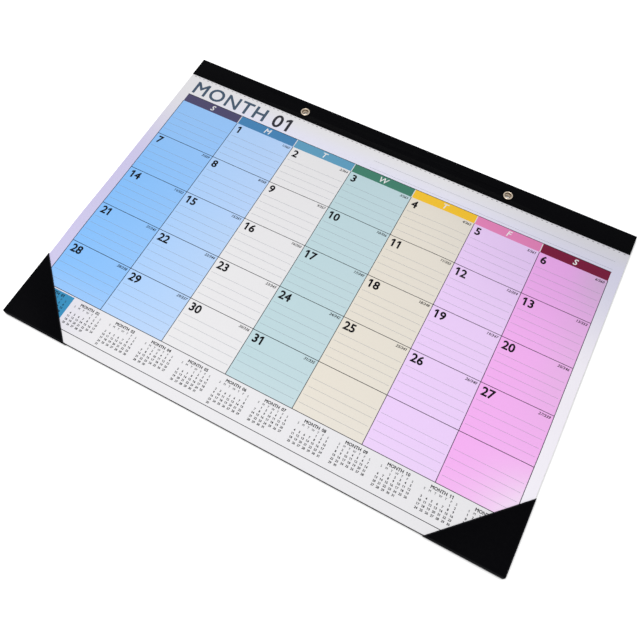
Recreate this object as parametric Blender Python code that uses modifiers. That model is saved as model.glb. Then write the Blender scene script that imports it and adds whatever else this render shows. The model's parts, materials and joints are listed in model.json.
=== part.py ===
"""Desk pad calendar: a pad of month sheets bound under a folded head band, on a stiff board.

The pad lies flat with its back on Z = 0. X runs along the head, Y points to the head, Z points up.
All sizes are in metres.
"""

import math

import bmesh
import bpy
from mathutils import Matrix, Vector

# Overall size, over the folded band and the corner pockets
OVERALL_WIDTH = 0.4320
OVERALL_DEPTH = 0.3050

# Leatherette of the band and the pockets, and the glue line behind it
WRAP_THICKNESS = 0.0004
GLUE_GAP = 0.0001
FOLD_STEPS = 5

# Backing board
BOARD_THICKNESS = 0.0022
BOARD_CORNER_RADIUS = 0.0008
BOARD_CORNER_STEPS = 4

# Month sheets, from the top of the pad to the board
MONTHS = (
    "january", "february", "march", "april", "may", "june",
    "july", "august", "september", "october", "november", "december",
)
SHEET_THICKNESS = 0.00012
SHEET_GAP = 0.00004
SHEET_INSET = 0.0003

# Head band and the perforated line below it, where a sheet turns or tears off
BAND_WIDTH = 0.0204
BAND_BACK_WIDTH = 0.0204
PERFORATION_OFFSET = 0.0021
PERFORATION_GAP = 0.0003

# Eyelets, set through the band, the stubs and the board
EYELET_SPACING = 0.2006
EYELET_SHIFT = 0.0034
EYELET_FROM_HEAD = 0.0120
EYELET_BORE_RADIUS = 0.0029
EYELET_WALL = 0.00035
EYELET_FLANGE_WIDTH = 0.00095
EYELET_FLANGE_HEIGHT = 0.0008
EYELET_LIP = 0.0002
EYELET_ROLL_WIDTH = 0.00075
EYELET_ROLL_HEIGHT = 0.00035
EYELET_CLEARANCE = 0.00015
EYELET_SEAT_GAP = 0.00005
EYELET_STEPS = 32
EYELET_DOME_STEPS = 5

# The set eyelet dents the back of the pad, so its rolled end lies flush
DENT_RIM = 0.0007
DENT_SLOPE = 0.6
DENT_STEPS = 32

# Corner pockets
POCKET_LEG = 0.0610
POCKET_BACK_WIDTH = 0.0180
POCKET_FOLD_RADIUS = 0.00035
POCKET_FOLD_STEPS = 2

# How far a turned sheet stays above the eyelets
TURN_CLEARANCE = 0.0003

# How far a cutter runs past the piece that it cuts, and the distance at which points are joined
CUT_MARGIN = 0.0020
WELD = 0.000001

# The folds, tight enough to clear the square edge inside them
FOLD_INNER_RADIUS = 2 * GLUE_GAP
FOLD_RADIUS = FOLD_INNER_RADIUS + WRAP_THICKNESS

# Levels through the stack, from the back upwards
BOARD_BOTTOM = WRAP_THICKNESS + GLUE_GAP
BOARD_TOP = BOARD_BOTTOM + BOARD_THICKNESS
PAD_BOTTOM = BOARD_TOP + SHEET_GAP
SHEET_PITCH = SHEET_THICKNESS + SHEET_GAP
PAD_TOP = PAD_BOTTOM + len(MONTHS) * SHEET_PITCH - SHEET_GAP
WRAP_TOP = PAD_TOP + GLUE_GAP + WRAP_THICKNESS
FLANGE_SEAT = WRAP_TOP + EYELET_SEAT_GAP
FLANGE_TOP = FLANGE_SEAT + EYELET_FLANGE_HEIGHT
DENT_DEPTH = EYELET_ROLL_HEIGHT + EYELET_SEAT_GAP

# Edges seen from above
HEAD_EDGE = OVERALL_DEPTH / 2
FOOT_EDGE = -OVERALL_DEPTH / 2
SIDE_EDGE = OVERALL_WIDTH / 2
WRAP_INSET = WRAP_THICKNESS + GLUE_GAP
BOARD_HEAD = HEAD_EDGE - WRAP_INSET
BOARD_FOOT = FOOT_EDGE + WRAP_INSET
BOARD_SIDE = SIDE_EDGE - WRAP_INSET
SHEET_SIDE = BOARD_SIDE - SHEET_INSET
BAND_LOWER_EDGE = HEAD_EDGE - BAND_WIDTH
PERFORATION_Y = BAND_LOWER_EDGE - PERFORATION_OFFSET
EYELET_Y = HEAD_EDGE - EYELET_FROM_HEAD
EYELET_BARREL_RADIUS = EYELET_BORE_RADIUS + EYELET_WALL
EYELET_HOLE_RADIUS = EYELET_BARREL_RADIUS + EYELET_CLEARANCE
EYELET_FLANGE_RADIUS = EYELET_BARREL_RADIUS + EYELET_FLANGE_WIDTH
EYELET_ROLL_RADIUS = EYELET_BARREL_RADIUS + EYELET_ROLL_WIDTH

# The axis that every sheet turns about: a sheet turned right over lies above the band and the eyelets
TURN_AXIS_Z = (PAD_TOP + FLANGE_TOP + TURN_CLEARANCE) / 2

EYELET_CENTRES = {
    "left": EYELET_SHIFT - EYELET_SPACING / 2,
    "right": EYELET_SHIFT + EYELET_SPACING / 2,
}


def clear_scene():
    for obj in list(bpy.data.objects):
        bpy.data.objects.remove(obj, do_unlink=True)


def add_collection(name):
    collection = bpy.data.collections.new(name)
    bpy.context.scene.collection.children.link(collection)
    return collection


def add_material(name, colour, roughness, metallic=0.0):
    material = bpy.data.materials.new(name)
    material.use_nodes = True
    shader = material.node_tree.nodes["Principled BSDF"]
    shader.inputs["Base Color"].default_value = (*colour, 1.0)
    shader.inputs["Roughness"].default_value = roughness
    shader.inputs["Metallic"].default_value = metallic
    return material


def add_object(name, mesh, material, location=(0.0, 0.0, 0.0)):
    obj = bpy.data.objects.new(name, mesh)
    obj.location = location
    obj.data.materials.append(material)
    parts.objects.link(obj)
    return obj


def mesh_from(name, form):
    bmesh.ops.recalc_face_normals(form, faces=form.faces)
    mesh = bpy.data.meshes.new(name)
    form.to_mesh(mesh)
    form.free()
    return mesh


def box_form(low, high):
    """A box between two corners, ready for more shaping."""
    low = Vector(low)
    high = Vector(high)
    form = bmesh.new()
    bmesh.ops.create_cube(form, size=1.0)
    bmesh.ops.transform(
        form,
        matrix=Matrix.Translation((low + high) / 2) @ Matrix.Diagonal((*(high - low), 1.0)),
        verts=form.verts,
    )
    return form


def upright_edges(form):
    """The edges of a form that run along Z."""
    found = []
    for edge in form.edges:
        run = edge.verts[1].co - edge.verts[0].co
        if abs(run.z) > abs(run.x) + abs(run.y):
            found.append(edge)
    return found


def edges_near(edges, x, y, reach):
    """The edges that stand within reach of a point, seen from above."""
    found = []
    for edge in edges:
        middle = (edge.verts[0].co + edge.verts[1].co) / 2
        if abs(middle.x - x) < reach and abs(middle.y - y) < reach:
            found.append(edge)
    return found


def round_edges(form, edges, radius, steps):
    bmesh.ops.bevel(
        form, geom=edges, offset=radius, offset_type="OFFSET", segments=steps,
        profile=0.5, affect="EDGES", clamp_overlap=True,
    )


def add_cutter(name, mesh, location=(0.0, 0.0, 0.0)):
    cutter = bpy.data.objects.new(name, mesh)
    cutter.location = location
    cutter.hide_render = True
    cutter.display_type = "WIRE"
    cutters.objects.link(cutter)
    return cutter


def add_boolean(obj, other, operation):
    boolean = obj.modifiers.new(operation.lower() + " " + other.name, "BOOLEAN")
    boolean.operation = operation
    boolean.object = other
    boolean.solver = "EXACT"


def cone_mesh(name, bottom_radius, top_radius, bottom, top, steps):
    """A cylinder or cone standing on Z, between two heights."""
    form = bmesh.new()
    bmesh.ops.create_cone(
        form, cap_ends=True, segments=steps, radius1=bottom_radius, radius2=top_radius, depth=top - bottom,
    )
    bmesh.ops.translate(form, verts=form.verts, vec=(0.0, 0.0, (bottom + top) / 2))
    return mesh_from(name, form)


def cut_eyelet_holes(obj):
    for side in EYELET_CENTRES:
        add_boolean(obj, eyelet_cutters[side], "DIFFERENCE")


def dent_mesh(name, offset, bottom):
    """The pressed-in form round an eyelet's rolled end, grown by an offset, from a level upwards."""
    top = DENT_DEPTH + offset
    top_radius = EYELET_ROLL_RADIUS + DENT_RIM + offset
    return cone_mesh(name, top_radius + DENT_SLOPE * (top - bottom), top_radius, bottom, top, DENT_STEPS)


def make_backing_board():
    """Greyboard faced in black. The set eyelets dent its back."""
    form = box_form((-BOARD_SIDE, BOARD_FOOT, BOARD_BOTTOM), (BOARD_SIDE, BOARD_HEAD, BOARD_TOP))
    round_edges(form, upright_edges(form), BOARD_CORNER_RADIUS, BOARD_CORNER_STEPS)
    board = add_object("backing_board", mesh_from("backing_board", form), black_board)
    cut_eyelet_holes(board)
    dent = dent_mesh("board dent", WRAP_THICKNESS + GLUE_GAP, -CUT_MARGIN)
    for side, x in EYELET_CENTRES.items():
        add_boolean(board, add_cutter("board dent " + side, dent, (x, EYELET_Y, 0.0)), "DIFFERENCE")


def make_head_band():
    """One strip folded over the head edge: back flap, spine and front flap, pressed in round the eyelets."""
    profile = [(HEAD_EDGE - BAND_BACK_WIDTH, 0.0)]
    for level, first_angle in ((FOLD_RADIUS, -math.pi / 2), (WRAP_TOP - FOLD_RADIUS, 0.0)):
        for step in range(FOLD_STEPS + 1):
            angle = first_angle + math.pi / 2 * step / FOLD_STEPS
            across = HEAD_EDGE - FOLD_RADIUS + FOLD_RADIUS * math.cos(angle)
            profile.append((across, level + FOLD_RADIUS * math.sin(angle)))
    profile.append((BAND_LOWER_EDGE, WRAP_TOP))

    form = bmesh.new()
    left_end = [form.verts.new((-SHEET_SIDE, y, z)) for y, z in profile]
    run = [form.edges.new(pair) for pair in zip(left_end, left_end[1:])]
    swept = bmesh.ops.extrude_edge_only(form, edges=run)["geom"]
    right_end = [item for item in swept if isinstance(item, bmesh.types.BMVert)]
    bmesh.ops.translate(form, verts=right_end, vec=(2 * SHEET_SIDE, 0.0, 0.0))
    mesh = mesh_from("head_band", form)
    band = add_object("head_band", mesh, black_leatherette)

    inward = band.modifiers.new("leatherette", "SOLIDIFY")
    inward.thickness = WRAP_THICKNESS
    faces_out = max(mesh.polygons, key=lambda face: face.center.y).normal.y > 0
    inward.offset = -1.0 if faces_out else 1.0
    inward.use_even_offset = True

    raised = dent_mesh("raised dent", WRAP_THICKNESS, WRAP_THICKNESS / 2)
    recess = dent_mesh("dent recess", 0.0, -CUT_MARGIN)
    for side, x in EYELET_CENTRES.items():
        place = (x, EYELET_Y, 0.0)
        add_boolean(band, add_cutter("raised dent " + side, raised, place), "UNION")
        add_boolean(band, add_cutter("dent recess " + side, recess, place), "DIFFERENCE")
    cut_eyelet_holes(band)


def make_sheets():
    """Twelve sheets. Each turns about the perforated line and leaves its stub bound under the band."""
    axis_point = Vector((0.0, PERFORATION_Y, TURN_AXIS_Z))
    stub_low_y = PERFORATION_Y + PERFORATION_GAP / 2
    sheet_high_y = PERFORATION_Y - PERFORATION_GAP / 2
    sheet_low_y = BOARD_FOOT + SHEET_INSET
    stub_high_y = BOARD_HEAD - SHEET_INSET
    for place, month in enumerate(reversed(MONTHS)):
        bottom = PAD_BOTTOM + place * SHEET_PITCH
        top = bottom + SHEET_THICKNESS

        form = box_form((-SHEET_SIDE, sheet_low_y, bottom), (SHEET_SIDE, sheet_high_y, top))
        for corner_x in (-SHEET_SIDE, SHEET_SIDE):
            foot_corner = edges_near(upright_edges(form), corner_x, sheet_low_y, CUT_MARGIN)
            round_edges(form, foot_corner, BOARD_CORNER_RADIUS, BOARD_CORNER_STEPS)
        bmesh.ops.translate(form, verts=form.verts, vec=-axis_point)
        add_object("sheet_" + month, mesh_from("sheet_" + month, form), paper, axis_point)

        form = box_form((-SHEET_SIDE, stub_low_y, bottom), (SHEET_SIDE, stub_high_y, top))
        stub = add_object("stub_" + month, mesh_from("stub_" + month, form), paper)
        cut_eyelet_holes(stub)


def eyelet_profile():
    """Half section of a set eyelet, from the crown of its flange down its outer side and up its bore."""
    barrel = EYELET_BARREL_RADIUS
    roll_round = EYELET_ROLL_HEIGHT / 2
    points = []
    for step in range(EYELET_DOME_STEPS + 1):
        angle = math.pi / 2 * step / EYELET_DOME_STEPS
        radius = barrel + EYELET_FLANGE_WIDTH * math.sin(angle)
        height = FLANGE_SEAT + EYELET_LIP + (EYELET_FLANGE_HEIGHT - EYELET_LIP) * math.cos(angle)
        points.append((radius, height))
    points += [
        (EYELET_FLANGE_RADIUS, FLANGE_SEAT),
        (barrel, FLANGE_SEAT),
        (barrel, EYELET_ROLL_HEIGHT),
        (EYELET_ROLL_RADIUS - roll_round, EYELET_ROLL_HEIGHT),
        (EYELET_ROLL_RADIUS, roll_round),
        (EYELET_ROLL_RADIUS - roll_round, 0.0),
        (barrel, 0.0),
        (EYELET_BORE_RADIUS, EYELET_WALL),
        (EYELET_BORE_RADIUS, FLANGE_TOP - EYELET_WALL),
    ]
    return points


def make_eyelets():
    """Pale brass eyelets, turned out over the band at the front and rolled over behind."""
    for side, x in EYELET_CENTRES.items():
        name = "eyelet_" + side
        form = bmesh.new()
        section = [form.verts.new((radius, 0.0, height)) for radius, height in eyelet_profile()]
        for first, second in zip(section, section[1:] + section[:1]):
            form.edges.new((first, second))
        mesh = bpy.data.meshes.new(name)
        form.to_mesh(mesh)
        form.free()
        eyelet = add_object(name, mesh, pale_brass, (x, EYELET_Y, 0.0))
        turn = eyelet.modifiers.new("turned", "SCREW")
        turn.axis = "Z"
        turn.angle = math.tau
        turn.steps = EYELET_STEPS
        turn.render_steps = EYELET_STEPS
        turn.use_merge_vertices = True
        turn.merge_threshold = WELD
        turn.use_smooth_shade = True


def make_pocket(side, sign):
    """A triangle of leatherette folded round the board's corner, with two strips glued behind."""
    name = "corner_pocket_" + side
    # Built as for the right-hand corner about the pad's outer corner, then mirrored for the left one
    reach = POCKET_LEG + CUT_MARGIN
    form = box_form((-reach, 0.0, 0.0), (0.0, reach, WRAP_TOP))
    inner_radius = BOARD_CORNER_RADIUS + GLUE_GAP
    corner = edges_near(upright_edges(form), 0.0, 0.0, CUT_MARGIN)
    round_edges(form, corner, inner_radius + WRAP_THICKNESS, BOARD_CORNER_STEPS)
    folds = []
    for edge in form.edges:
        first, second = (vertex.co for vertex in edge.verts)
        middle = (first + second) / 2
        level = abs(first.z - second.z) < POCKET_FOLD_RADIUS
        free = middle.x < -POCKET_LEG or middle.y > POCKET_LEG
        if level and not free:
            folds.append(edge)
    round_edges(form, folds, POCKET_FOLD_RADIUS, POCKET_FOLD_STEPS)
    cut = bmesh.ops.bisect_plane(
        form,
        geom=form.verts[:] + form.edges[:] + form.faces[:],
        dist=WELD,
        plane_co=(-POCKET_LEG, 0.0, 0.0),
        plane_no=(-1.0, 1.0, 0.0),
        clear_outer=True,
    )["geom_cut"]
    bmesh.ops.contextual_create(form, geom=[item for item in cut if isinstance(item, bmesh.types.BMEdge)])

    hollow = box_form(
        (-reach, WRAP_THICKNESS, WRAP_THICKNESS),
        (-WRAP_THICKNESS, reach, WRAP_TOP - WRAP_THICKNESS),
    )
    hollow_corner = edges_near(upright_edges(hollow), 0.0, 0.0, CUT_MARGIN)
    round_edges(hollow, hollow_corner, inner_radius, BOARD_CORNER_STEPS)
    window = box_form(
        (-reach, POCKET_BACK_WIDTH, -CUT_MARGIN),
        (-POCKET_BACK_WIDTH, reach, WRAP_TOP / 2),
    )

    mirror = Matrix.Diagonal((sign, 1.0, 1.0, 1.0))
    corner_point = (sign * SIDE_EDGE, FOOT_EDGE, 0.0)
    for shape in (form, hollow, window):
        bmesh.ops.transform(shape, matrix=mirror, verts=shape.verts)
    pocket = add_object(name, mesh_from(name, form), black_leatherette, corner_point)
    for label, shape in (("hollow", hollow), ("window", window)):
        cutter = add_cutter(name + " " + label, mesh_from(name + " " + label, shape), corner_point)
        add_boolean(pocket, cutter, "DIFFERENCE")


clear_scene()
parts = add_collection("Desk pad calendar")
cutters = add_collection("Cutters")

paper = add_material("Uncoated paper", (0.80, 0.80, 0.84), 0.75)
black_leatherette = add_material("Black leatherette", (0.004, 0.004, 0.005), 0.55)
black_board = add_material("Black-faced board", (0.02, 0.02, 0.022), 0.80)
pale_brass = add_material("Pale brass", (0.72, 0.60, 0.42), 0.25, 1.0)

hole = cone_mesh(
    "eyelet hole", EYELET_HOLE_RADIUS, EYELET_HOLE_RADIUS, -CUT_MARGIN, WRAP_TOP + CUT_MARGIN, EYELET_STEPS,
)
eyelet_cutters = {}
for eyelet_side, eyelet_x in EYELET_CENTRES.items():
    eyelet_cutters[eyelet_side] = add_cutter("eyelet hole " + eyelet_side, hole, (eyelet_x, EYELET_Y, 0.0))

make_backing_board()
make_sheets()
make_head_band()
make_eyelets()
make_pocket("left", -1.0)
make_pocket("right", 1.0)
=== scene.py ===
"""A desk pad calendar: printed month sheets on a board, bound under a leatherette band with two eyelets."""

import json
import math

import bmesh
import bpy
from mathutils import Matrix, Vector


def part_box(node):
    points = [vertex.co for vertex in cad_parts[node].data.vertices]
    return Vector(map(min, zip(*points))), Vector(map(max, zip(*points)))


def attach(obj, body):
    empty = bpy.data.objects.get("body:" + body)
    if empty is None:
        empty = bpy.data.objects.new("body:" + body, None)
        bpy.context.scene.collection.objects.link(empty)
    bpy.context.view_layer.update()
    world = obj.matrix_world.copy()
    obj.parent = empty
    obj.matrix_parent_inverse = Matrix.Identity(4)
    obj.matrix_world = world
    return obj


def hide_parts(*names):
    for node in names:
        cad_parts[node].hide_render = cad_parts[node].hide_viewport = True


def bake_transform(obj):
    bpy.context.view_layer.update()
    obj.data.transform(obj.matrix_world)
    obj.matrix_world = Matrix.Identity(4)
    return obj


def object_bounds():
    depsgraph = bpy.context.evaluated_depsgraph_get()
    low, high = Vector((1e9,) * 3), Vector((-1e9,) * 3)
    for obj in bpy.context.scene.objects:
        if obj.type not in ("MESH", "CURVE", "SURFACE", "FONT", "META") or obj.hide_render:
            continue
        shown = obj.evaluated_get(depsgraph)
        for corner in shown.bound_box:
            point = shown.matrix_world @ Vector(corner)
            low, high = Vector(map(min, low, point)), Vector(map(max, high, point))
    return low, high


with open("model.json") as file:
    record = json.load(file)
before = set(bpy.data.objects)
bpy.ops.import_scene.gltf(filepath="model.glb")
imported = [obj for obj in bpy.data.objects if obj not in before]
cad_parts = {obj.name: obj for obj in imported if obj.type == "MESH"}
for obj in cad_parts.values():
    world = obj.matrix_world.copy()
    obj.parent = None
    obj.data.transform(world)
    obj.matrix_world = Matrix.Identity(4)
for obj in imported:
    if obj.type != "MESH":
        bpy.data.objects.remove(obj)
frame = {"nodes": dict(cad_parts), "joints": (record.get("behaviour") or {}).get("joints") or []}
cad_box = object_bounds()

# Backing board
# A stiff sheet of chipboard, lined with black paper on both sides and cut to size with a guillotine.
# It lies under the pad of sheets, and its dark cut edge shows along the foot.
MM = 0.001
BOARD_FIBRE = 0.9 * MM
BOARD_DARK = "#0c0c0e"
BOARD_PALE = "#1c1c20"
BOARD_TOOTH = 0.05 * MM


def linear(hex_colour):
    """The linear colour, with alpha, of an sRGB hex value."""
    channels = [int(hex_colour[place:place + 2], 16) / 255 for place in (1, 3, 5)]
    bent = [c / 12.92 if c <= 0.04045 else ((c + 0.055) / 1.055) ** 2.4 for c in channels]
    return (*bent, 1.0)


def blank_material(name):
    """A material with an empty node tree."""
    material = bpy.data.materials.new(name)
    material.use_nodes = True
    material.node_tree.nodes.clear()
    return material


def add_node(material, kind, inputs=None, **settings):
    """Adds one node. Settings are its properties; inputs are socket values, or outputs to link to them."""
    node = material.node_tree.nodes.new(kind)
    for name, value in settings.items():
        setattr(node, name, value)
    for name, value in (inputs or {}).items():
        if isinstance(value, bpy.types.NodeSocket):
            material.node_tree.links.new(value, node.inputs[name])
        else:
            node.inputs[name].default_value = value
    return node


# A colour Mix node has its two colours in these inputs and its result in this output
MIX_FIRST = 6
MIX_SECOND = 7
MIX_RESULT = 2

# Black lining paper over recycled pulp: dull, with a faint tooth and paler fibres
lined_board = blank_material("black_lined_chipboard")
board_place = add_node(lined_board, "ShaderNodeTexCoord")
board_fibres = add_node(lined_board, "ShaderNodeTexNoise", {
    "Vector": board_place.outputs["Object"], "Scale": 1 / BOARD_FIBRE, "Detail": 4.0, "Roughness": 0.7})
board_tone = add_node(lined_board, "ShaderNodeMix", {
    0: board_fibres.outputs[0], MIX_FIRST: linear(BOARD_DARK), MIX_SECOND: linear(BOARD_PALE)},
    data_type="RGBA")
board_bump = add_node(lined_board, "ShaderNodeBump", {
    "Height": board_fibres.outputs[0], "Strength": 0.4, "Distance": BOARD_TOOTH})
board_shader = add_node(lined_board, "ShaderNodeBsdfPrincipled", {
    "Base Color": board_tone.outputs[MIX_RESULT], "Roughness": 0.8, "Specular IOR Level": 0.05,
    "Normal": board_bump.outputs["Normal"]})
add_node(lined_board, "ShaderNodeOutputMaterial", {"Surface": board_shader.outputs["BSDF"]})
frame["nodes"]["backing_board"].material_slots[0].material = lined_board

# Month sheets
# Twelve sheets of uncoated offset paper, printed on one side in pale tints. Each is one piece from head to
# foot: its head strip is bound under the band, and a row of slits lets the rest turn over or tear off.
MONTHS = [joint["name"].removeprefix("turn_") for joint in frame["joints"]]
WEEKDAYS = 7
WEEK_ROWS = 5

sheet_low, sheet_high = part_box("sheet_january")
stub_low, stub_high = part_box("stub_january")
SHEET_LEFT = sheet_low.x
SHEET_RIGHT = sheet_high.x
SHEET_FOOT = sheet_low.y
SHEET_HEAD = stub_high.y
SHEET_THICKNESS = sheet_high.z - sheet_low.z
SHEET_CORNER = 0.8 * MM
SHEET_CORNER_STEPS = 4

GRID_LEFT = -205.4 * MM
GRID_TOP = 100.3 * MM
COLUMN = 58.84 * MM
ROW = 43.05 * MM
HEADER = 9.3 * MM
SMALL_MONTHS_FOOT = -143.4 * MM
GRID_RIGHT = GRID_LEFT + WEEKDAYS * COLUMN
GRID_FOOT = GRID_TOP - WEEK_ROWS * ROW
SMALL_MONTH = (GRID_RIGHT - GRID_LEFT) / len(MONTHS)

TURN_Y = (sheet_high.y + stub_low.y) / 2
SLIT_RISE = 0.8 * MM
SLIT_Y = TURN_Y + SLIT_RISE
SLIT_WIDTH = 0.45 * MM
SLIT_LENGTH = 1.8 * MM
SLIT_PITCH = 4.54 * MM
FOLD_DROP = 0.3 * MM
FOLD_LENGTH = 2.7 * MM
FOLD_START = TURN_Y - FOLD_DROP
FOLD_END = FOLD_START - FOLD_LENGTH
FOLD_STEPS = 12
STEPS_IN_COLUMN = 8
STEPS_IN_ROW = 6
STEPS_IN_MARGIN = 3
STEPS_IN_HEAD = 6

EYELET_HOLE = 3.4 * MM
PUNCH_DEPTH = 4 * MM
PUNCH_STEPS = 48
EYELETS = {side: sum(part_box("eyelet_" + side), Vector()) / 2 for side in ("left", "right")}

PAPER = "#ecebee"
HEAD_PAPER = "#ecebfc"
MARGIN_LEFT = "#d3cdef"
MARGIN_RIGHT = "#faf6ff"
MARGIN_START = 125 * MM
MARGIN_FULL = 20 * MM
COLUMN_TINTS = ("#88c3ff", "#aed3ff", "#ecebed", "#c1dbe1", "#ebe4d7", "#f1d3ff", "#fbb5f8")
COLUMN_FADES = (0.08, 0.18, 0.0, 0.06, 0.04, 0.02, 0.04)
FOOT_FADE = 0.08
FOOT_FADE_START = GRID_FOOT + 0.6 * ROW
LEFT_HEAD_FADE = 0.1
LEFT_HEAD_REACH = 2 * COLUMN
LAST_CORNER_FADE = 0.85
LAST_CORNER_BEND = 2.2
LAST_CORNER_START = GRID_FOOT + 1.3 * ROW
LAST_CORNER_FULL = GRID_FOOT - 0.1 * ROW
# Painted shade on the last column: greyer along its right edge, and most at the head
LAST_EDGE_SHADE_TINT = "#c4cbcb"
LAST_EDGE_SHADE = 0.16
LAST_EDGE_START = 0.4
LAST_EDGE_FOOT = GRID_FOOT + ROW
LAST_EDGE_FULL = GRID_FOOT + 3 * ROW
LAST_HEAD_SHADE = 0.28
LAST_HEAD_FOOT = GRID_TOP - ROW
# Painted shade: the print is darker and bluer towards the right end of the head, where the light falls off
HEAD_SHADE = 0.15
HEAD_SHADE_TINT = "#00008c"
HEAD_SHADE_START = 40 * MM
HEADER_TINTS = ("#4d486b", "#4785b8", "#61a0c2", "#41806c", "#fbc933", "#ec89bf", "#7d103a")
CURRENT_MONTH_TINT = "#358ebd"
CURRENT_MONTH_GAP = 1.2 * MM
# Painted shade for the walls of the slits
SLIT_SHADE = "#55555a"
STRIP_LEFT = "#dfdcec"
STRIP_REACH = 75 * MM
PAPER_FIBRE = 0.8 * MM
PAPER_TOOTH = 0.02 * MM

# Soft waves in the stack, strongest in the top sheet: x, y, reach along x and y, and height
WAVES = (
    (70 * MM, 88 * MM, 34 * MM, 52 * MM, 1.6 * MM),
    (-20 * MM, 70 * MM, 46 * MM, 50 * MM, 1.0 * MM),
    (206 * MM, -55 * MM, 38 * MM, 38 * MM, 1.3 * MM),
    (-208 * MM, -55 * MM, 36 * MM, 38 * MM, 0.8 * MM),
)
WAVE_HEAD_START = 114 * MM
WAVE_HEAD_FULL = 94 * MM
POCKET_LEG = 61 * MM
POCKET_PRESS = 26 * MM


def smooth_step(value, start, full):
    """0 before start and 1 past full, with a smooth rise between them."""
    share = min(1.0, max(0.0, (value - start) / (full - start)))
    return share * share * (3 - 2 * share)


def rise(x, y):
    """How far the top sheet stands above the flat at a place. The band and the pockets hold it down."""
    height = sum(
        peak * math.exp(-((x - wave_x) / reach_x) ** 2 - ((y - wave_y) / reach_y) ** 2)
        for wave_x, wave_y, reach_x, reach_y, peak in WAVES
    )
    side_gap = SHEET_RIGHT - abs(x)
    from_pocket = (side_gap + y - SHEET_FOOT - POCKET_LEG) / math.sqrt(2)
    held_at_head = smooth_step(y, WAVE_HEAD_START, WAVE_HEAD_FULL)
    return height * held_at_head * smooth_step(from_pocket, 0.0, POCKET_PRESS)


def start_piece(name):
    """Names the active object and its mesh, with its place and size put into the mesh."""
    bpy.ops.object.mode_set(mode="OBJECT")
    bpy.ops.object.transform_apply(location=True, rotation=True, scale=True)
    piece = bpy.context.active_object
    piece.name = name
    piece.data.name = name
    return piece


def select_faces(mesh, wanted):
    """In edit mode, selects only the faces whose centre is wanted."""
    bpy.ops.mesh.select_mode(type="FACE")
    bpy.ops.mesh.select_all(action="DESELECT")
    form = bmesh.from_edit_mesh(mesh)
    for face in form.faces:
        if wanted(face.calc_center_median()):
            face.select_set(True)
    bmesh.update_edit_mesh(mesh)


def cut_all(along, places):
    """In edit mode, cuts the selected faces square to X or Y at each place."""
    for place in places:
        point = (place, 0, 0) if along == "x" else (0, place, 0)
        normal = (1, 0, 0) if along == "x" else (0, 1, 0)
        bpy.ops.mesh.select_all(action="SELECT")
        bpy.ops.mesh.bisect(plane_co=point, plane_no=normal)


def even_steps(first, last, count):
    """The places that cut a stretch into equal steps, its ends left out."""
    return [first + (last - first) * step / count for step in range(1, count)]


# One blank sheet is cut where its print, its fold and its waves need an edge
bpy.ops.object.select_all(action="DESELECT")
bpy.ops.mesh.primitive_plane_add(size=1)
blank = bpy.context.active_object
blank.scale = (SHEET_RIGHT - SHEET_LEFT, SHEET_HEAD - SHEET_FOOT, 1)
blank.location = ((SHEET_LEFT + SHEET_RIGHT) / 2, (SHEET_FOOT + SHEET_HEAD) / 2, sheet_high.z)
blank = start_piece("sheet_blank")

bpy.ops.object.mode_set(mode="EDIT")
form = bmesh.from_edit_mesh(blank.data)
for corner in form.verts:
    corner.select_set(corner.co.y < 0)
form.select_flush(False)
bpy.ops.mesh.bevel(offset=SHEET_CORNER, segments=SHEET_CORNER_STEPS, affect="VERTICES")

column_edges = [GRID_LEFT + COLUMN * column for column in range(WEEKDAYS + 1)]
row_edges = [GRID_TOP - ROW * row for row in range(WEEK_ROWS + 1)]
x_cuts = list(column_edges)
x_cuts += even_steps(SHEET_LEFT, GRID_LEFT, STEPS_IN_MARGIN)
x_cuts += even_steps(GRID_RIGHT, SHEET_RIGHT, STEPS_IN_MARGIN)
x_cuts += even_steps(GRID_LEFT, GRID_RIGHT, WEEKDAYS * STEPS_IN_COLUMN)
x_cuts += even_steps(GRID_LEFT, GRID_RIGHT, len(MONTHS))
y_cuts = list(row_edges) + [GRID_TOP + HEADER, SMALL_MONTHS_FOOT]
y_cuts += [GRID_FOOT - CURRENT_MONTH_GAP, SMALL_MONTHS_FOOT + CURRENT_MONTH_GAP]
y_cuts += even_steps(GRID_FOOT, GRID_TOP, WEEK_ROWS * STEPS_IN_ROW)
y_cuts += even_steps(SMALL_MONTHS_FOOT, GRID_FOOT, STEPS_IN_MARGIN)
y_cuts += even_steps(GRID_TOP + HEADER, FOLD_END, STEPS_IN_HEAD)
y_cuts += [FOLD_END, FOLD_START] + even_steps(FOLD_END, FOLD_START, FOLD_STEPS)
y_cuts += [SLIT_Y - SLIT_WIDTH / 2, SLIT_Y + SLIT_WIDTH / 2]
cut_all("x", x_cuts)
cut_all("y", y_cuts)

slit_count = int((SHEET_RIGHT - SHEET_LEFT - SLIT_LENGTH) / SLIT_PITCH)
slits = [SLIT_PITCH * (number - (slit_count - 1) / 2) for number in range(slit_count)]
for slit in slits:
    for end in (slit - SLIT_LENGTH / 2, slit + SLIT_LENGTH / 2):
        select_faces(blank.data, lambda centre: abs(centre.y - SLIT_Y) < SLIT_WIDTH / 2)
        bpy.ops.mesh.bisect(plane_co=(end, 0, 0), plane_no=(1, 0, 0))


def in_slit(centre):
    """True at a place inside one of the slits."""
    nearest = min(slits, key=lambda slit: abs(slit - centre.x))
    return abs(centre.y - SLIT_Y) < SLIT_WIDTH / 2 and abs(centre.x - nearest) < SLIT_LENGTH / 2


# A face belongs to one of the paper's two sides where its normal points at least this much up or down
LEVEL = 0.5


def in_slit_wall(face):
    """True for a face of the walls of the slits, which are too narrow for much light to reach in."""
    upright = abs(face.normal.z) < LEVEL
    in_row = abs(face.center.y - SLIT_Y) < SLIT_WIDTH and abs(face.center.x) < slits[-1] + SLIT_LENGTH
    return upright and in_row


select_faces(blank.data, in_slit)
bpy.ops.mesh.delete(type="FACE")
bpy.ops.object.mode_set(mode="OBJECT")

wall = blank.modifiers.new("paper", "SOLIDIFY")
wall.thickness = SHEET_THICKNESS
wall.offset = -1
bpy.ops.object.modifier_apply(modifier="paper")

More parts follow.
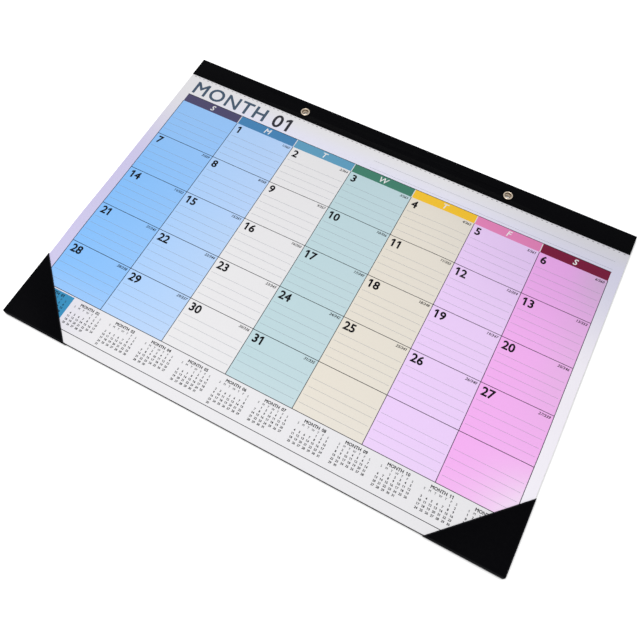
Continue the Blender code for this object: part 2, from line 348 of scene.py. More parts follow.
for eyelet_centre in EYELETS.values():
    bpy.ops.mesh.primitive_cylinder_add(vertices=PUNCH_STEPS, radius=EYELET_HOLE, depth=PUNCH_DEPTH)
    punch = bpy.context.active_object
    punch.location = (eyelet_centre.x, eyelet_centre.y, sheet_high.z)
    bpy.ops.object.select_all(action="DESELECT")
    blank.select_set(True)
    bpy.context.view_layer.objects.active = blank
    hole = blank.modifiers.new("hole", "BOOLEAN")
    hole.operation = "DIFFERENCE"
    hole.object = punch
    bpy.ops.object.modifier_apply(modifier="hole")
    bpy.data.objects.remove(punch)
SMOOTH_ANGLE = math.radians(40)
bpy.ops.object.shade_smooth_by_angle(angle=SMOOTH_ANGLE)


def mixed(first, second, share):
    """A linear colour part of the way from one to another."""
    return tuple(a + (b - a) * share for a, b in zip(first, second))


def print_tint(centre, corner, month_index):
    """The printed colour of a face's corner, with painted shade towards the right end of the head."""
    across = smooth_step(corner.x, HEAD_SHADE_START, SHEET_RIGHT)
    shade = HEAD_SHADE * across * smooth_step(corner.y, 0.0, GRID_TOP)
    colour = field_tint(centre, corner, month_index)
    # Painted shade: a blue-tinted darkening multiplied into the print's colour
    painted_shade_colour = [channel * ink for channel, ink in zip(colour, linear(HEAD_SHADE_TINT))]
    return mixed(colour, painted_shade_colour, shade)


def field_tint(centre, corner, month_index):
    """The colour of a field of the print at a face's corner. The face's centre says which field it is in."""
    paper = linear(PAPER)
    # Away from the left edge the paper has a faint lilac cast round the head of the grid
    if corner.y > 0:
        from_left = smooth_step(corner.x, GRID_LEFT, GRID_LEFT + STRIP_REACH)
        from_slits = smooth_step(corner.y, SLIT_Y, GRID_TOP + HEADER)
        paper = mixed(paper, linear(HEAD_PAPER), from_left * from_slits)
    if not GRID_LEFT < centre.x < GRID_RIGHT:
        margin = linear(MARGIN_LEFT if centre.x < 0 else MARGIN_RIGHT)
        from_head = smooth_step(corner.y, MARGIN_START, MARGIN_FULL)
        return mixed(paper, margin, from_head * smooth_step(corner.y, SMALL_MONTHS_FOOT, GRID_FOOT))
    column = int((centre.x - GRID_LEFT) / COLUMN)
    if GRID_TOP < centre.y < GRID_TOP + HEADER:
        return linear(HEADER_TINTS[column])
    if GRID_FOOT < centre.y < GRID_TOP:
        across = (corner.x - GRID_LEFT) / COLUMN - column
        fade = COLUMN_FADES[column] * across
        fade += FOOT_FADE * smooth_step(corner.y, FOOT_FADE_START, GRID_FOOT)
        at_left = smooth_step(corner.x, GRID_LEFT + LEFT_HEAD_REACH, GRID_LEFT)
        fade += LEFT_HEAD_FADE * at_left * smooth_step(corner.y, 0.0, GRID_TOP)
        tint = mixed(linear(COLUMN_TINTS[column]), paper, fade)
        return last_column_tint(tint, across, corner.y) if column == WEEKDAYS - 1 else tint
    if SMALL_MONTHS_FOOT < centre.y < GRID_FOOT:
        current = int((centre.x - GRID_LEFT) / SMALL_MONTH) == month_index
        from_line = min(GRID_FOOT - centre.y, centre.y - SMALL_MONTHS_FOOT)
        if current and from_line > CURRENT_MONTH_GAP:
            return linear(CURRENT_MONTH_TINT)
        return mixed(linear(STRIP_LEFT), paper, smooth_step(corner.x, GRID_LEFT, GRID_LEFT + STRIP_REACH))
    return paper


def last_column_tint(tint, across, y):
    """The last column: painted shade along its right edge, most at the head; it fades out at its foot."""
    grey = LAST_EDGE_SHADE * smooth_step(y, LAST_EDGE_FOOT, LAST_EDGE_FULL)
    grey += LAST_HEAD_SHADE * smooth_step(y, LAST_HEAD_FOOT, GRID_TOP)
    tint = mixed(tint, linear(LAST_EDGE_SHADE_TINT), grey * smooth_step(across, LAST_EDGE_START, 1.0))
    at_foot = smooth_step(y, LAST_CORNER_START, LAST_CORNER_FULL)
    return mixed(tint, linear(MARGIN_RIGHT), LAST_CORNER_FADE * across ** LAST_CORNER_BEND * at_foot)


# Uncoated white paper with pale offset inks: matt, with a fine tooth and a slight cloudiness
printed_paper = blank_material("printed_offset_paper")
paper_place = add_node(printed_paper, "ShaderNodeTexCoord")
paper_ink = add_node(printed_paper, "ShaderNodeAttribute", attribute_name="print")
paper_cloud = add_node(printed_paper, "ShaderNodeTexNoise", {
    "Vector": paper_place.outputs["Object"], "Scale": 1 / PAPER_FIBRE, "Detail": 3.0, "Roughness": 0.6})
paper_tone = add_node(printed_paper, "ShaderNodeMapRange", {
    "Value": paper_cloud.outputs[0], "To Min": 0.97, "To Max": 1.03})
paper_colour = add_node(printed_paper, "ShaderNodeMix", {
    0: 1.0, MIX_FIRST: paper_ink.outputs["Color"], MIX_SECOND: paper_tone.outputs[0]},
    data_type="RGBA", blend_type="MULTIPLY")
paper_sheen = add_node(printed_paper, "ShaderNodeMapRange", {
    "Value": paper_cloud.outputs[0], "To Min": 0.55, "To Max": 0.70})
paper_bump = add_node(printed_paper, "ShaderNodeBump", {
    "Height": paper_cloud.outputs[0], "Strength": 0.25, "Distance": PAPER_TOOTH})
paper_shader = add_node(printed_paper, "ShaderNodeBsdfPrincipled", {
    "Base Color": paper_colour.outputs[MIX_RESULT], "Roughness": paper_sheen.outputs[0],
    "Specular IOR Level": 0.2, "Normal": paper_bump.outputs["Normal"]})
add_node(printed_paper, "ShaderNodeOutputMaterial", {"Surface": paper_shader.outputs["BSDF"]})
blank.data.materials.append(printed_paper)


def wave_share(month_index):
    """How much of the top sheet's waves a sheet has: all at the top, none on the board."""
    return 1 - month_index / (len(MONTHS) - 1)


def copy_piece(source, name, lower):
    """A copy of a modelled piece with its own mesh, set lower by a distance."""
    mesh = source.data.copy()
    mesh.name = name
    mesh.transform(Matrix.Translation((0, 0, -lower)))
    piece = bpy.data.objects.new(name, mesh)
    bpy.context.scene.collection.objects.link(piece)
    return piece


sheets = {}
for month_index, month in enumerate(MONTHS):
    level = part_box("sheet_" + month)[1].z
    paper = copy_piece(blank, "paper_" + month, sheet_high.z - level)
    ink = paper.data.color_attributes.new("print", "FLOAT_COLOR", "CORNER")
    for face in paper.data.polygons:
        printed = face.normal.z > LEVEL
        # Slit walls get a painted shade colour; other faces off the printed side are bare paper
        plain = linear(SLIT_SHADE if in_slit_wall(face) else PAPER)
        for loop in face.loop_indices:
            corner = paper.data.vertices[paper.data.loops[loop].vertex_index].co
            ink.data[loop].color = print_tint(face.center, corner, month_index) if printed else plain
    for point in paper.data.vertices:
        point.co.z += rise(point.co.x, point.co.y) * wave_share(month_index)
    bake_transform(paper)
    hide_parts("sheet_" + month, "stub_" + month)
    sheets[month] = paper
bpy.data.objects.remove(blank)

# Ruling
# The fine lines of the print: the frame and grid in dark grey, and pale rules to write on in every day's
# field and beside the title. Each line is a film of ink that lies on its sheet.
INK_LIFT = 0.03 * MM
GRID_LINE = 0.54 * MM
RULE_LINE = 0.2 * MM
HEADER_GAP = 0.7 * MM
RULE_PITCH = ROW / STEPS_IN_ROW
RULES_IN_FIELD = 4
RULE_INSET = 2.0 * MM
NOTE_LEFT = -16.3 * MM
NOTE_RULES = (120.6 * MM, 112.4 * MM)
GRID_INK = ("#202328", "#2c2f35")
RULE_INK = ("#878e99", "#959ca6")
GAP_PAPER = (PAPER, "#e2e1e4")
INK_GRAIN = 0.5 * MM


def ink_material(name, hex_colour, thin_hex_colour):
    """Matt offset ink that is a little thinner in the paper's hollows."""
    material = blank_material(name)
    place = add_node(material, "ShaderNodeTexCoord")
    grain = add_node(material, "ShaderNodeTexNoise", {
        "Vector": place.outputs["Object"], "Scale": 1 / INK_GRAIN, "Detail": 2.0})
    tone = add_node(material, "ShaderNodeMix", {
        0: grain.outputs[0], MIX_FIRST: linear(hex_colour), MIX_SECOND: linear(thin_hex_colour)},
        data_type="RGBA")
    shader = add_node(material, "ShaderNodeBsdfPrincipled", {
        "Base Color": tone.outputs[MIX_RESULT], "Roughness": 0.6, "Specular IOR Level": 0.05})
    add_node(material, "ShaderNodeOutputMaterial", {"Surface": shader.outputs["BSDF"]})
    return material


grid_ink = ink_material("dark_grey_ink", *GRID_INK)
rule_ink = ink_material("pale_grey_ink", *RULE_INK)
gap_paper = ink_material("unprinted_gap", *GAP_PAPER)

bpy.ops.object.select_all(action="DESELECT")
bpy.ops.mesh.primitive_plane_add(size=1)
ruling_blank = start_piece("ruling_blank")
GRID_SLOT, RULE_SLOT, GAP_SLOT = range(3)
for ink in (grid_ink, rule_ink, gap_paper):
    ruling_blank.data.materials.append(ink)
bpy.ops.object.mode_set(mode="EDIT")
bpy.ops.mesh.delete(type="VERT")


def add_line(left, right, low, high, slot):
    """In edit mode, adds one printed line."""
    middle = ((left + right) / 2, (low + high) / 2, sheet_high.z)
    bpy.ops.mesh.primitive_plane_add(size=1, location=middle)
    bpy.ops.transform.resize(value=(right - left, high - low, 1), center_override=middle)
    ruling_blank.active_material_index = slot
    bpy.ops.object.material_slot_assign()


half = GRID_LINE / 2
for edge in column_edges:
    foot = SMALL_MONTHS_FOOT if edge in (column_edges[0], column_edges[-1]) else GRID_FOOT
    add_line(edge - half, edge + half, foot, GRID_TOP, GRID_SLOT)
for edge in row_edges[1:] + [GRID_TOP + HEADER, SMALL_MONTHS_FOOT]:
    add_line(GRID_LEFT - half, GRID_RIGHT + half, edge - half, edge + half, GRID_SLOT)
half = HEADER_GAP / 2
for edge in column_edges[1:-1]:
    add_line(edge - half, edge + half, GRID_TOP, GRID_TOP + HEADER - GRID_LINE / 2, GAP_SLOT)
half = RULE_LINE / 2
for left in column_edges[:-1]:
    for foot in row_edges[1:]:
        for number in range(1, RULES_IN_FIELD + 1):
            rule = foot + RULE_PITCH * number
            add_line(left + RULE_INSET, left + COLUMN - RULE_INSET, rule - half, rule + half, RULE_SLOT)
for rule in NOTE_RULES:
    add_line(NOTE_LEFT, GRID_RIGHT, rule - half, rule + half, RULE_SLOT)
cut_all("x", x_cuts)
cut_all("y", y_cuts)
bpy.ops.object.mode_set(mode="OBJECT")


def lay_on_sheet(piece, month):
    """Lays a film of ink on the printed face of its sheet."""
    bpy.ops.object.select_all(action="DESELECT")
    piece.select_set(True)
    bpy.context.view_layer.objects.active = piece
    lay = piece.modifiers.new("lay", "SHRINKWRAP")
    lay.target = sheets[month]
    lay.wrap_method = "PROJECT"
    lay.use_project_z = True
    lay.use_negative_direction = True
    lay.use_positive_direction = True
    lay.offset = INK_LIFT
    bpy.ops.object.modifier_apply(modifier="lay")


# The print starts this far above its sheet, clear of the waves, and is then let down on it
PRINT_DROP = 8 * MM
for month in MONTHS:
    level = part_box("sheet_" + month)[1].z
    ruling = copy_piece(ruling_blank, "ruling_" + month, sheet_high.z - level - PRINT_DROP)
    lay_on_sheet(ruling, month)
    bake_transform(ruling)
bpy.data.objects.remove(ruling_blank)

# Numerals
# The printed numbers: a large date in every day's field with the day of the year beside it, a row of twelve
# small months along the foot, and the number of the month at the head. Weekdays have plain initials.
MONTH_DAYS = (31, 29, 31, 30, 31, 30, 31, 31, 30, 31, 30, 31)
WEEK_INITIALS = "SMTWTFS"
FIRST_COLUMN = 1
TEXT_INK = ("#08080c", "#131318")
SLATE_INK = ("#46586b", "#52647a")
CHARCOAL_INK = ("#2e2d35", "#3a3942")
WHITE_INK = ("#f4f4f4", "#e8e8ea")
CAPITAL_SHARE = 0.682
BAR_HEIGHT = 0.9
BAR_LEAN = 0.1
FLAG_THICKNESS = 0.16
FLAG_REACH = (-0.21, -0.15)
MITRE_LIMIT = 0.6
DATE_HEIGHT = 7.0 * MM
DATE_INSET = 3.2 * MM
DATE_DROP = 2.4 * MM
DATE_WEIGHT = 0.045
DAY_HEIGHT = 2.3 * MM
DAY_INSET = 2.2 * MM
DAY_DROP = 1.6 * MM
DAY_WEIGHT = 0.03
DAY_SLOPE = 0.25
HEADER_HEIGHT = 5.4 * MM
HEADER_WEIGHT = 0.025
HEADER_SLOPE = 0.2
TITLE_HEIGHT = 13.7 * MM
TITLE_BASE = 112.7 * MM
TITLE_WEIGHT = 0.026
TITLE_SPACING = 1.12
TITLE_NUMBER_SHIFT = 86 * MM
SMALL_HEIGHT = 1.65 * MM
SMALL_WEIGHT = 0.05
SMALL_INITIAL_WEIGHT = 0.02
SMALL_HEADING = 2.4 * MM
SMALL_HEADING_WEIGHT = 0.045
SMALL_SPACE = 1.6 * MM
SMALL_SHIFT = 5.6 * MM
SMALL_COLUMN = 4.13 * MM
SMALL_ROW = 3.05 * MM
SMALL_FIRST_BASE = -123.0 * MM
SMALL_HEADING_BASE = -120.0 * MM

text_ink = ink_material("black_ink", *TEXT_INK)
slate_ink = ink_material("slate_ink", *SLATE_INK)
charcoal_ink = ink_material("charcoal_ink", *CHARCOAL_INK)
white_ink = ink_material("white_ink", *WHITE_INK)


def add_text(
        words, place, height, ink, weight=0.0, slope=0.0, align="LEFT", line=1.0, detail=2, spacing=1.0):
    """Sets type from a place on its first baseline. Height is a capital's; line is the step of the lines."""
    bpy.ops.object.text_add(location=(*place, sheet_high.z + PRINT_DROP))
    text = bpy.context.active_object
    text.data.body = words
    text.data.size = height / CAPITAL_SHARE
    text.data.space_line = line / text.data.size
    text.data.space_character = spacing
    text.data.align_x = align
    text.data.shear = slope
    text.data.resolution_u = detail
    text.data.materials.append(ink)
    bpy.ops.object.convert(target="MESH")
    form = bmesh.new()
    form.from_mesh(text.data)
    if not any(sign.isalpha() for sign in words):
        flag_ones(form, height, slope)
    embolden(form, weight * height)
    form.to_mesh(text.data)
    form.free()
    return text


def flag_ones(form, height, slope):
    """Adds a flag to every figure one, which the built-in typeface draws as a bare bar."""
    for edge in [edge for edge in form.edges if edge.is_boundary]:
        low, high = sorted(edge.verts, key=lambda corner: corner.co.y)
        tall = high.co.y - low.co.y
        lean = high.co.x - low.co.x - slope * tall
        inwards = edge.link_faces[0].calc_center_median().x - (low.co.x + high.co.x) / 2
        if tall < BAR_HEIGHT * height or abs(lean) > BAR_LEAN * height or inwards < 0:
            continue
        split = bmesh.utils.edge_split(edge, high, FLAG_THICKNESS)[1]
        head = next(part for part in split.link_edges if part.other_vert(split) == high)
        made = bmesh.ops.extrude_edge_only(form, edges=[head])["geom"]
        tip = [part for part in made if isinstance(part, bmesh.types.BMVert)]
        bmesh.ops.translate(form, verts=tip, vec=(FLAG_REACH[0] * height, FLAG_REACH[1] * height, 0))


def embolden(form, by):
    """Moves the outline of flat type outwards, with its sharp corners kept short."""
    moves = {}
    for edge in form.edges:
        if not edge.is_boundary:
            continue
        first, second = (corner.co for corner in edge.verts)
        along = (second - first).normalized()
        outwards = Vector((along.y, -along.x, 0))
        if outwards.dot(edge.link_faces[0].calc_center_median() - first) > 0:
            outwards.negate()
        for corner in edge.verts:
            moves.setdefault(corner, []).append(outwards)
    for corner, sides in moves.items():
        both = sum(sides, Vector())
        reach = max(MITRE_LIMIT, sides[0].dot(both.normalized())) if both.length > 0 else 1.0
        corner.co += both.normalized() * by / reach


def join_texts(texts, name):
    """Joins set type into one mesh."""
    bpy.ops.object.select_all(action="DESELECT")
    for text in texts:
        text.select_set(True)
    bpy.context.view_layer.objects.active = texts[0]
    bpy.ops.object.join()
    return start_piece(name)


month_starts = []
weekday = FIRST_COLUMN
for days in MONTH_DAYS:
    month_starts.append(weekday)
    weekday = (weekday + days) % WEEKDAYS

small_texts = []
for month_index, days in enumerate(MONTH_DAYS):
    middle = GRID_LEFT + SMALL_MONTH * (month_index + 0.5)
    word_place = (middle + SMALL_SHIFT - SMALL_SPACE, SMALL_HEADING_BASE)
    small_texts.append(add_text(
        "MONTH", word_place, SMALL_HEADING, text_ink, weight=SMALL_HEADING_WEIGHT, align="RIGHT"))
    number_place = (middle + SMALL_SHIFT, SMALL_HEADING_BASE)
    small_texts.append(add_text(
        f"{month_index + 1:02d}", number_place, SMALL_HEADING, text_ink, weight=SMALL_HEADING_WEIGHT))
    for column in range(WEEKDAYS):
        dates = range(column - month_starts[month_index] + 1, days + 1, WEEKDAYS)
        across = middle + SMALL_COLUMN * (column - WEEKDAYS // 2)
        small_texts.append(add_text(
            WEEK_INITIALS[column], (across, SMALL_FIRST_BASE), SMALL_HEIGHT, grid_ink,
            weight=SMALL_INITIAL_WEIGHT, align="CENTER"))
        lines = [str(date) if date > 0 else "" for date in dates]
        small_texts.append(add_text(
            "\n".join(lines), (across, SMALL_FIRST_BASE - SMALL_ROW), SMALL_HEIGHT, text_ink,
            weight=SMALL_WEIGHT, align="CENTER", line=SMALL_ROW))
for column in range(WEEKDAYS):
    place = (GRID_LEFT + COLUMN * (column + 0.5), GRID_TOP + (HEADER - HEADER_HEIGHT) / 2)
    small_texts.append(add_text(
        WEEK_INITIALS[column], place, HEADER_HEIGHT, white_ink,
        weight=HEADER_WEIGHT, slope=HEADER_SLOPE, align="CENTER", detail=3))
common_print = join_texts(small_texts, "common_print")

days_before = 0
year_days = sum(MONTH_DAYS)
for month_index, month in enumerate(MONTHS):
    texts = []
    days = MONTH_DAYS[month_index]
    for column in range(WEEKDAYS):
        rows = ["" for row in range(WEEK_ROWS)]
        counts = ["" for row in range(WEEK_ROWS)]
        for date in range(1, days + 1):
            slot = month_starts[month_index] + date - 1
            if slot % WEEKDAYS != column:
                continue
            row = slot // WEEKDAYS
            day = days_before + date
            if row < WEEK_ROWS:
                rows[row] = str(date)
                counts[row] = f"{day}/{year_days - day}"
            else:
                rows[-1] += f"/{date}"
        left = GRID_LEFT + COLUMN * column
        date_place = (left + DATE_INSET, GRID_TOP - DATE_DROP - DATE_HEIGHT)
        texts.append(add_text(
            "\n".join(rows), date_place, DATE_HEIGHT, text_ink, weight=DATE_WEIGHT, line=ROW, detail=3))
        day_place = (left + COLUMN - DAY_INSET, GRID_TOP - DAY_DROP - DAY_HEIGHT)
        texts.append(add_text(
            "\n\n".join(counts), day_place, DAY_HEIGHT, text_ink,
            weight=DAY_WEIGHT, slope=DAY_SLOPE, align="RIGHT", line=ROW / 2))
    title_place = (GRID_LEFT, TITLE_BASE)
    texts.append(add_text(
        "MONTH", title_place, TITLE_HEIGHT, slate_ink, weight=TITLE_WEIGHT, detail=4, spacing=TITLE_SPACING))
    number_place = (GRID_LEFT + TITLE_NUMBER_SHIFT, TITLE_BASE)
    texts.append(add_text(
        f"{month_index + 1:02d}", number_place, TITLE_HEIGHT, charcoal_ink,
        weight=TITLE_WEIGHT, detail=4, spacing=TITLE_SPACING))
    days_before += days
    common = copy_piece(common_print, "common_" + month, 0.0)
    numerals = join_texts(texts + [common], "numerals_" + month)
    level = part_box("sheet_" + month)[1].z
    numerals.data.transform(Matrix.Translation((0, 0, level - sheet_high.z)))
    lay_on_sheet(numerals, month)
    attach(numerals, month + "_page")
bpy.data.objects.remove(common_print)

# Head band
# A strip of black leatherette, a PVC film embossed with a fine leather grain. It is folded over the head of
# the board and the sheets and glued to both faces.
LEATHER_BLACK = "#020204"
LEATHER_WORN = "#070709"
# Painted highlight where the folded edges catch the light, with its reach in from the edge and down from the
# top
LEATHER_EDGE_HIGHLIGHT = "#222226"
EDGE_HIGHLIGHT_REACH = 1.1 * MM
EDGE_HIGHLIGHT_DROP = 0.15 * MM
WELD = 0.001 * MM
GRAIN = 1.1 * MM
GRAIN_DEPTH = 0.06 * MM
CREASE = 2.75 * MM
band_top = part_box("head_band")[1].z


def merged_copy(node, name):
    """A copy of a solid's mesh, its loose triangles joined and its folds shaded round."""
    bpy.ops.object.select_all(action="DESELECT")
    piece = bpy.data.objects.new(name, frame["nodes"][node].data.copy())
    piece.data.name = name
    piece.data.materials.clear()
    bpy.context.scene.collection.objects.link(piece)
    piece.select_set(True)
    bpy.context.view_layer.objects.active = piece
    bpy.ops.object.mode_set(mode="EDIT")
    bpy.ops.mesh.select_all(action="SELECT")
    bpy.ops.mesh.remove_doubles(threshold=WELD)
    bpy.ops.object.mode_set(mode="OBJECT")
    bpy.ops.object.shade_smooth_by_angle(angle=SMOOTH_ANGLE)
    return piece


# PVC leatherette: deep black, satin on the pebbles of the grain and dull between them. The real grain is
# about 0.5 mm; it is drawn twice as coarse, so that it shows.
leatherette = blank_material("black_grained_leatherette")
leather_place = add_node(leatherette, "ShaderNodeTexCoord")
leather_pebbles = add_node(leatherette, "ShaderNodeTexVoronoi", {
    "Vector": leather_place.outputs["Object"], "Scale": 1 / GRAIN, "Smoothness": 0.6}, feature="SMOOTH_F1")
leather_creases = add_node(leatherette, "ShaderNodeTexNoise", {
    "Vector": leather_place.outputs["Object"], "Scale": 1 / CREASE, "Detail": 4.0})
leather_tone = add_node(leatherette, "ShaderNodeMix", {
    0: leather_creases.outputs[0], MIX_FIRST: linear(LEATHER_BLACK), MIX_SECOND: linear(LEATHER_WORN)},
    data_type="RGBA")
# Painted highlight: the upper side is paler along the pad's outline and the pockets' mouths, where folds
# catch light
pad_low, pad_high = cad_box
leather_at = add_node(leatherette, "ShaderNodeSeparateXYZ", {"Vector": leather_place.outputs["Object"]})
leather_across = add_node(leatherette, "ShaderNodeMath", {0: leather_at.outputs["X"]}, operation="ABSOLUTE")
leather_side = add_node(leatherette, "ShaderNodeMath", {
    0: pad_high.x, 1: leather_across.outputs[0]}, operation="SUBTRACT")
leather_head = add_node(leatherette, "ShaderNodeMath", {
    0: pad_high.y, 1: leather_at.outputs["Y"]}, operation="SUBTRACT")
leather_foot = add_node(leatherette, "ShaderNodeMath", {
    0: leather_at.outputs["Y"], 1: pad_low.y}, operation="SUBTRACT")
leather_corner = add_node(leatherette, "ShaderNodeMath", {
    0: leather_side.outputs[0], 1: leather_foot.outputs[0]}, operation="ADD")
leather_mouth = add_node(leatherette, "ShaderNodeMath", {
    0: leather_corner.outputs[0], 1: POCKET_LEG, 2: EDGE_HIGHLIGHT_REACH}, operation="COMPARE")
leather_ends = add_node(leatherette, "ShaderNodeMath", {
    0: leather_head.outputs[0], 1: leather_foot.outputs[0]}, operation="MINIMUM")
leather_outline = add_node(leatherette, "ShaderNodeMath", {
    0: leather_side.outputs[0], 1: leather_ends.outputs[0]}, operation="MINIMUM")
leather_fold = add_node(leatherette, "ShaderNodeMapRange", {
    "Value": leather_outline.outputs[0], "From Max": EDGE_HIGHLIGHT_REACH, "To Min": 1.0, "To Max": 0.0})
leather_bent = add_node(leatherette, "ShaderNodeMath", {
    0: leather_fold.outputs[0], 1: leather_mouth.outputs[0]}, operation="MAXIMUM")
leather_upper = add_node(leatherette, "ShaderNodeMapRange", {
    "Value": leather_at.outputs["Z"], "From Min": band_top - EDGE_HIGHLIGHT_DROP, "From Max": band_top})
leather_edge_highlight = add_node(leatherette, "ShaderNodeMath", {
    0: leather_bent.outputs[0], 1: leather_upper.outputs[0]}, operation="MULTIPLY")
leather_colour = add_node(leatherette, "ShaderNodeMix", {
    0: leather_edge_highlight.outputs[0], MIX_FIRST: leather_tone.outputs[MIX_RESULT],
    MIX_SECOND: linear(LEATHER_EDGE_HIGHLIGHT)}, data_type="RGBA")
leather_sheen = add_node(leatherette, "ShaderNodeMapRange", {
    "Value": leather_pebbles.outputs["Distance"], "To Min": 0.42, "To Max": 0.62})
leather_height = add_node(leatherette, "ShaderNodeMath", {
    0: leather_creases.outputs[0], 1: leather_pebbles.outputs["Distance"]}, operation="SUBTRACT")
leather_bump = add_node(leatherette, "ShaderNodeBump", {
    "Height": leather_height.outputs[0], "Strength": 0.5, "Distance": GRAIN_DEPTH})
leather_shader = add_node(leatherette, "ShaderNodeBsdfPrincipled", {
    "Base Color": leather_colour.outputs[MIX_RESULT], "Roughness": leather_sheen.outputs[0],
    "Specular IOR Level": 0.02, "Normal": leather_bump.outputs["Normal"]})
add_node(leatherette, "ShaderNodeOutputMaterial", {"Surface": leather_shader.outputs["BSDF"]})

band = merged_copy("head_band", "leatherette_band")
band.data.materials.append(leatherette)
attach(band, "pad")
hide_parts("head_band")

# Eyelets
# Two pale brass eyelets, drawn from thin strip, pushed through the band, the sheets and the board from the
# front and rolled over behind. The pad hangs on them.
BORE = 2.9 * MM
EYELET_WALL = 0.35 * MM
FLANGE_WIDTH = 0.95 * MM
FLANGE_HEIGHT = 0.8 * MM
FLANGE_LIP = 0.2 * MM
ROLL_WIDTH = 0.75 * MM
ROLL_HEIGHT = 0.35 * MM
DOME_STEPS = 12
ROLL_STEPS = 6
SPIN_STEPS = 72
DOME_SMOOTH_ANGLE = math.radians(50)
BRASS_PALE = "#cac0b4"
BRASS_WARM = "#b6a48a"
BRASS_SCRATCH = 0.35 * MM

eyelet_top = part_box("eyelet_left")[1].z
flange_seat = eyelet_top - FLANGE_HEIGHT
barrel = BORE + EYELET_WALL


def eyelet_section():
    """Half section of a set eyelet: its bore, the domed flange, down the barrel and round the roll."""
    points = [(BORE, EYELET_WALL), (BORE, eyelet_top - EYELET_WALL)]
    dome = FLANGE_HEIGHT - FLANGE_LIP
    for step in range(DOME_STEPS + 1):
        turn = math.pi / 2 * step / DOME_STEPS
        height = flange_seat + FLANGE_LIP + dome * math.cos(turn)
        points.append((barrel + FLANGE_WIDTH * math.sin(turn), height))
    points += [(barrel + FLANGE_WIDTH, flange_seat), (barrel, flange_seat), (barrel, ROLL_HEIGHT)]
    round_off = ROLL_HEIGHT / 2
    for step in range(ROLL_STEPS + 1):
        turn = math.pi * step / ROLL_STEPS
        radius = barrel + ROLL_WIDTH - round_off + round_off * math.sin(turn)
        points.append((radius, round_off * (1 + math.cos(turn))))
    points.append((barrel, 0.0))
    return points


# Brass strip, tumbled after stamping: bright and pale, with fine scratches and a slightly warmer tarnish
pale_brass = blank_material("tumbled_pale_brass")
brass_place = add_node(pale_brass, "ShaderNodeTexCoord")
brass_marks = add_node(pale_brass, "ShaderNodeTexNoise", {
    "Vector": brass_place.outputs["Object"], "Scale": 1 / BRASS_SCRATCH, "Detail": 5.0, "Roughness": 0.7})
brass_tone = add_node(pale_brass, "ShaderNodeMix", {
    0: brass_marks.outputs[0], MIX_FIRST: linear(BRASS_PALE), MIX_SECOND: linear(BRASS_WARM)},
    data_type="RGBA")
brass_sheen = add_node(pale_brass, "ShaderNodeMapRange", {
    "Value": brass_marks.outputs[0], "To Min": 0.18, "To Max": 0.34})
brass_shader = add_node(pale_brass, "ShaderNodeBsdfPrincipled", {
    "Base Color": brass_tone.outputs[MIX_RESULT], "Roughness": brass_sheen.outputs[0], "Metallic": 1.0})
add_node(pale_brass, "ShaderNodeOutputMaterial", {"Surface": brass_shader.outputs["BSDF"]})

section = eyelet_section()
for side, eyelet_centre in EYELETS.items():
    bpy.ops.object.select_all(action="DESELECT")
    bpy.ops.mesh.primitive_plane_add(size=1)
    bpy.ops.object.mode_set(mode="EDIT")
    bpy.ops.mesh.select_mode(type="VERT")
    bpy.ops.mesh.merge(type="CENTER")
    start = Vector((eyelet_centre.x + section[0][0], eyelet_centre.y, section[0][1]))
    bpy.ops.transform.translate(value=start)
    for (radius, height), (next_radius, next_height) in zip(section, section[1:] + section[:1]):
        move = (next_radius - radius, 0, next_height - height)
        bpy.ops.mesh.extrude_region_move(TRANSFORM_OT_translate={"value": move})
    bpy.ops.mesh.select_all(action="SELECT")
    bpy.ops.mesh.remove_doubles(threshold=WELD)
    bpy.ops.mesh.spin(
        steps=SPIN_STEPS, angle=math.tau, center=(eyelet_centre.x, eyelet_centre.y, 0), axis=(0, 0, 1))
    bpy.ops.mesh.select_all(action="SELECT")
    bpy.ops.mesh.remove_doubles(threshold=WELD)
    bpy.ops.mesh.normals_make_consistent(inside=False)
    eyelet = start_piece("brass_eyelet_" + side)
    bpy.ops.object.shade_smooth_by_angle(angle=DOME_SMOOTH_ANGLE)
    eyelet.data.materials.append(pale_brass)
    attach(eyelet, "pad")
    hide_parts("eyelet_" + side)

# Corner pockets
# Triangles of the same leatherette, folded round the two foot corners of the board and glued behind it. The
# sheets' lower corners are tucked into them.
for side in ("left", "right"):
    pocket = merged_copy("corner_pocket_" + side, "leatherette_pocket_" + side)
    pocket.data.materials.append(leatherette)
    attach(pocket, "pad")
    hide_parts("corner_pocket_" + side)

# Floor
# A plain white studio floor. It keeps the pad's soft shadow, and shows white to the eye and in reflections.
# The glow that makes it white dies away close to the pad, which leaves a thin dark line of contact.
FLOOR_SIZE = 6.0
FLOOR_DROP = 0.2 * MM
FLOOR_WHITE = "#f2f2f2"
FLOOR_GLOW = 0.55
FLOOR_CONTACT = 3.0 * MM
FLOOR_COVERED = 0.5

bpy.ops.object.select_all(action="DESELECT")
bpy.ops.mesh.primitive_plane_add(size=FLOOR_SIZE, location=(0, 0, -FLOOR_DROP))
floor = start_piece("studio_floor")


def seen_share(material):
    """1 for what is seen straight, in a reflection or through glass, and 0 for the light on other things."""
    sight = add_node(material, "ShaderNodeLightPath")
    straight = add_node(material, "ShaderNodeMath", {
        0: sight.outputs["Is Camera Ray"], 1: sight.outputs["Is Glossy Ray"]}, operation="MAXIMUM")
    seen = add_node(material, "ShaderNodeMath", {
        0: straight.outputs[0], 1: sight.outputs["Is Transmission Ray"]}, operation="MAXIMUM")
    return seen.outputs[0]


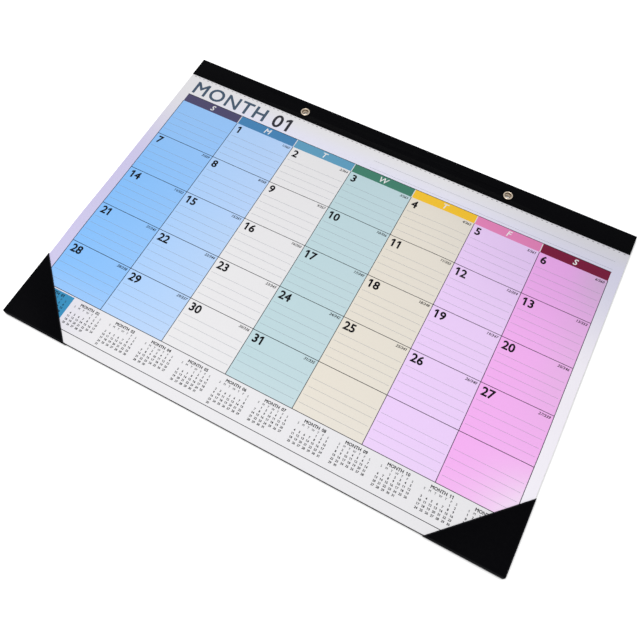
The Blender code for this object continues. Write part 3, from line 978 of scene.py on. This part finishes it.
white_floor = blank_material("white_floor")
floor_open = add_node(white_floor, "ShaderNodeAmbientOcclusion", {"Distance": FLOOR_CONTACT}, samples=16)
floor_glowing = add_node(white_floor, "ShaderNodeMapRange", {
    "Value": floor_open.outputs["AO"], "From Min": FLOOR_COVERED, "To Max": FLOOR_GLOW})
floor_strength = add_node(white_floor, "ShaderNodeMath", {
    0: seen_share(white_floor), 1: floor_glowing.outputs[0]}, operation="MULTIPLY")
floor_matt = add_node(white_floor, "ShaderNodeBsdfDiffuse", {"Color": linear(FLOOR_WHITE)})
floor_glow = add_node(white_floor, "ShaderNodeEmission", {
    "Color": linear("#ffffff"), "Strength": floor_strength.outputs[0]})
floor_both = add_node(white_floor, "ShaderNodeAddShader", {
    0: floor_matt.outputs[0], 1: floor_glow.outputs[0]})
add_node(white_floor, "ShaderNodeOutputMaterial", {"Surface": floor_both.outputs[0]})
floor.data.materials.append(white_floor)

# Light
# A white room, and one large soft lamp high above the foot of the pad and a little to the left, so that the
# light falls off towards the head.
ROOM_STRENGTH = 0.45
LAMP_SIZE = 0.7
LAMP_PLACE = (-0.10, -0.30, 0.90)
LAMP_AIM = (0.0, -0.08, 0.0)
LAMP_POWER = 5.4

room = bpy.data.worlds.new("white_room")
bpy.context.scene.world = room
room.use_nodes = True
room.node_tree.nodes.clear()
room_strength = add_node(room, "ShaderNodeMapRange", {
    "Value": seen_share(room), "To Min": ROOM_STRENGTH, "To Max": 1.0})
room_light = add_node(room, "ShaderNodeBackground", {
    "Color": linear("#ffffff"), "Strength": room_strength.outputs[0]})
add_node(room, "ShaderNodeOutputWorld", {"Surface": room_light.outputs[0]})

lamp_data = bpy.data.lights.new("soft_lamp", "AREA")
lamp_data.shape = "DISK"
lamp_data.size = LAMP_SIZE
lamp_data.energy = LAMP_POWER
lamp = bpy.data.objects.new("soft_lamp", lamp_data)
bpy.context.scene.collection.objects.link(lamp)
lamp.location = LAMP_PLACE
lamp.rotation_euler = (Vector(LAMP_AIM) - Vector(LAMP_PLACE)).to_track_quat("-Z", "Y").to_euler()

# Camera
# It stands in front of the foot, a little to the right, and looks down steeply at the pad. Its place is
# given by the point that it looks at, its distance from there and three angles.
LENS = 37.31
SENSOR = 36.0
AZIMUTH = math.radians(28.66)
ELEVATION = math.radians(65.69)
ROLL = math.radians(-0.80)
DISTANCE = 534.6 * MM
TARGET = Vector((13.54 * MM, -38.73 * MM, 0.4 * MM))

camera_data = bpy.data.cameras.new("camera")
camera_data.lens = LENS
camera_data.sensor_width = SENSOR
camera_data.clip_start = 0.01
camera_data.clip_end = 20.0
camera = bpy.data.objects.new("camera", camera_data)
bpy.context.scene.collection.objects.link(camera)
level_ahead = Vector((-math.sin(AZIMUTH), math.cos(AZIMUTH), 0))
ahead = level_ahead * math.cos(ELEVATION) - Vector((0, 0, math.sin(ELEVATION)))
level_right = Vector((math.cos(AZIMUTH), math.sin(AZIMUTH), 0))
level_up = level_right.cross(ahead)
right = level_right * math.cos(ROLL) + level_up * math.sin(ROLL)
up = level_up * math.cos(ROLL) - level_right * math.sin(ROLL)
camera_turn = Matrix((right, up, -ahead)).transposed().to_4x4()
camera.matrix_world = Matrix.Translation(TARGET - ahead * DISTANCE) @ camera_turn
bpy.context.scene.camera = camera
bpy.context.scene.view_settings.view_transform = "Standard"
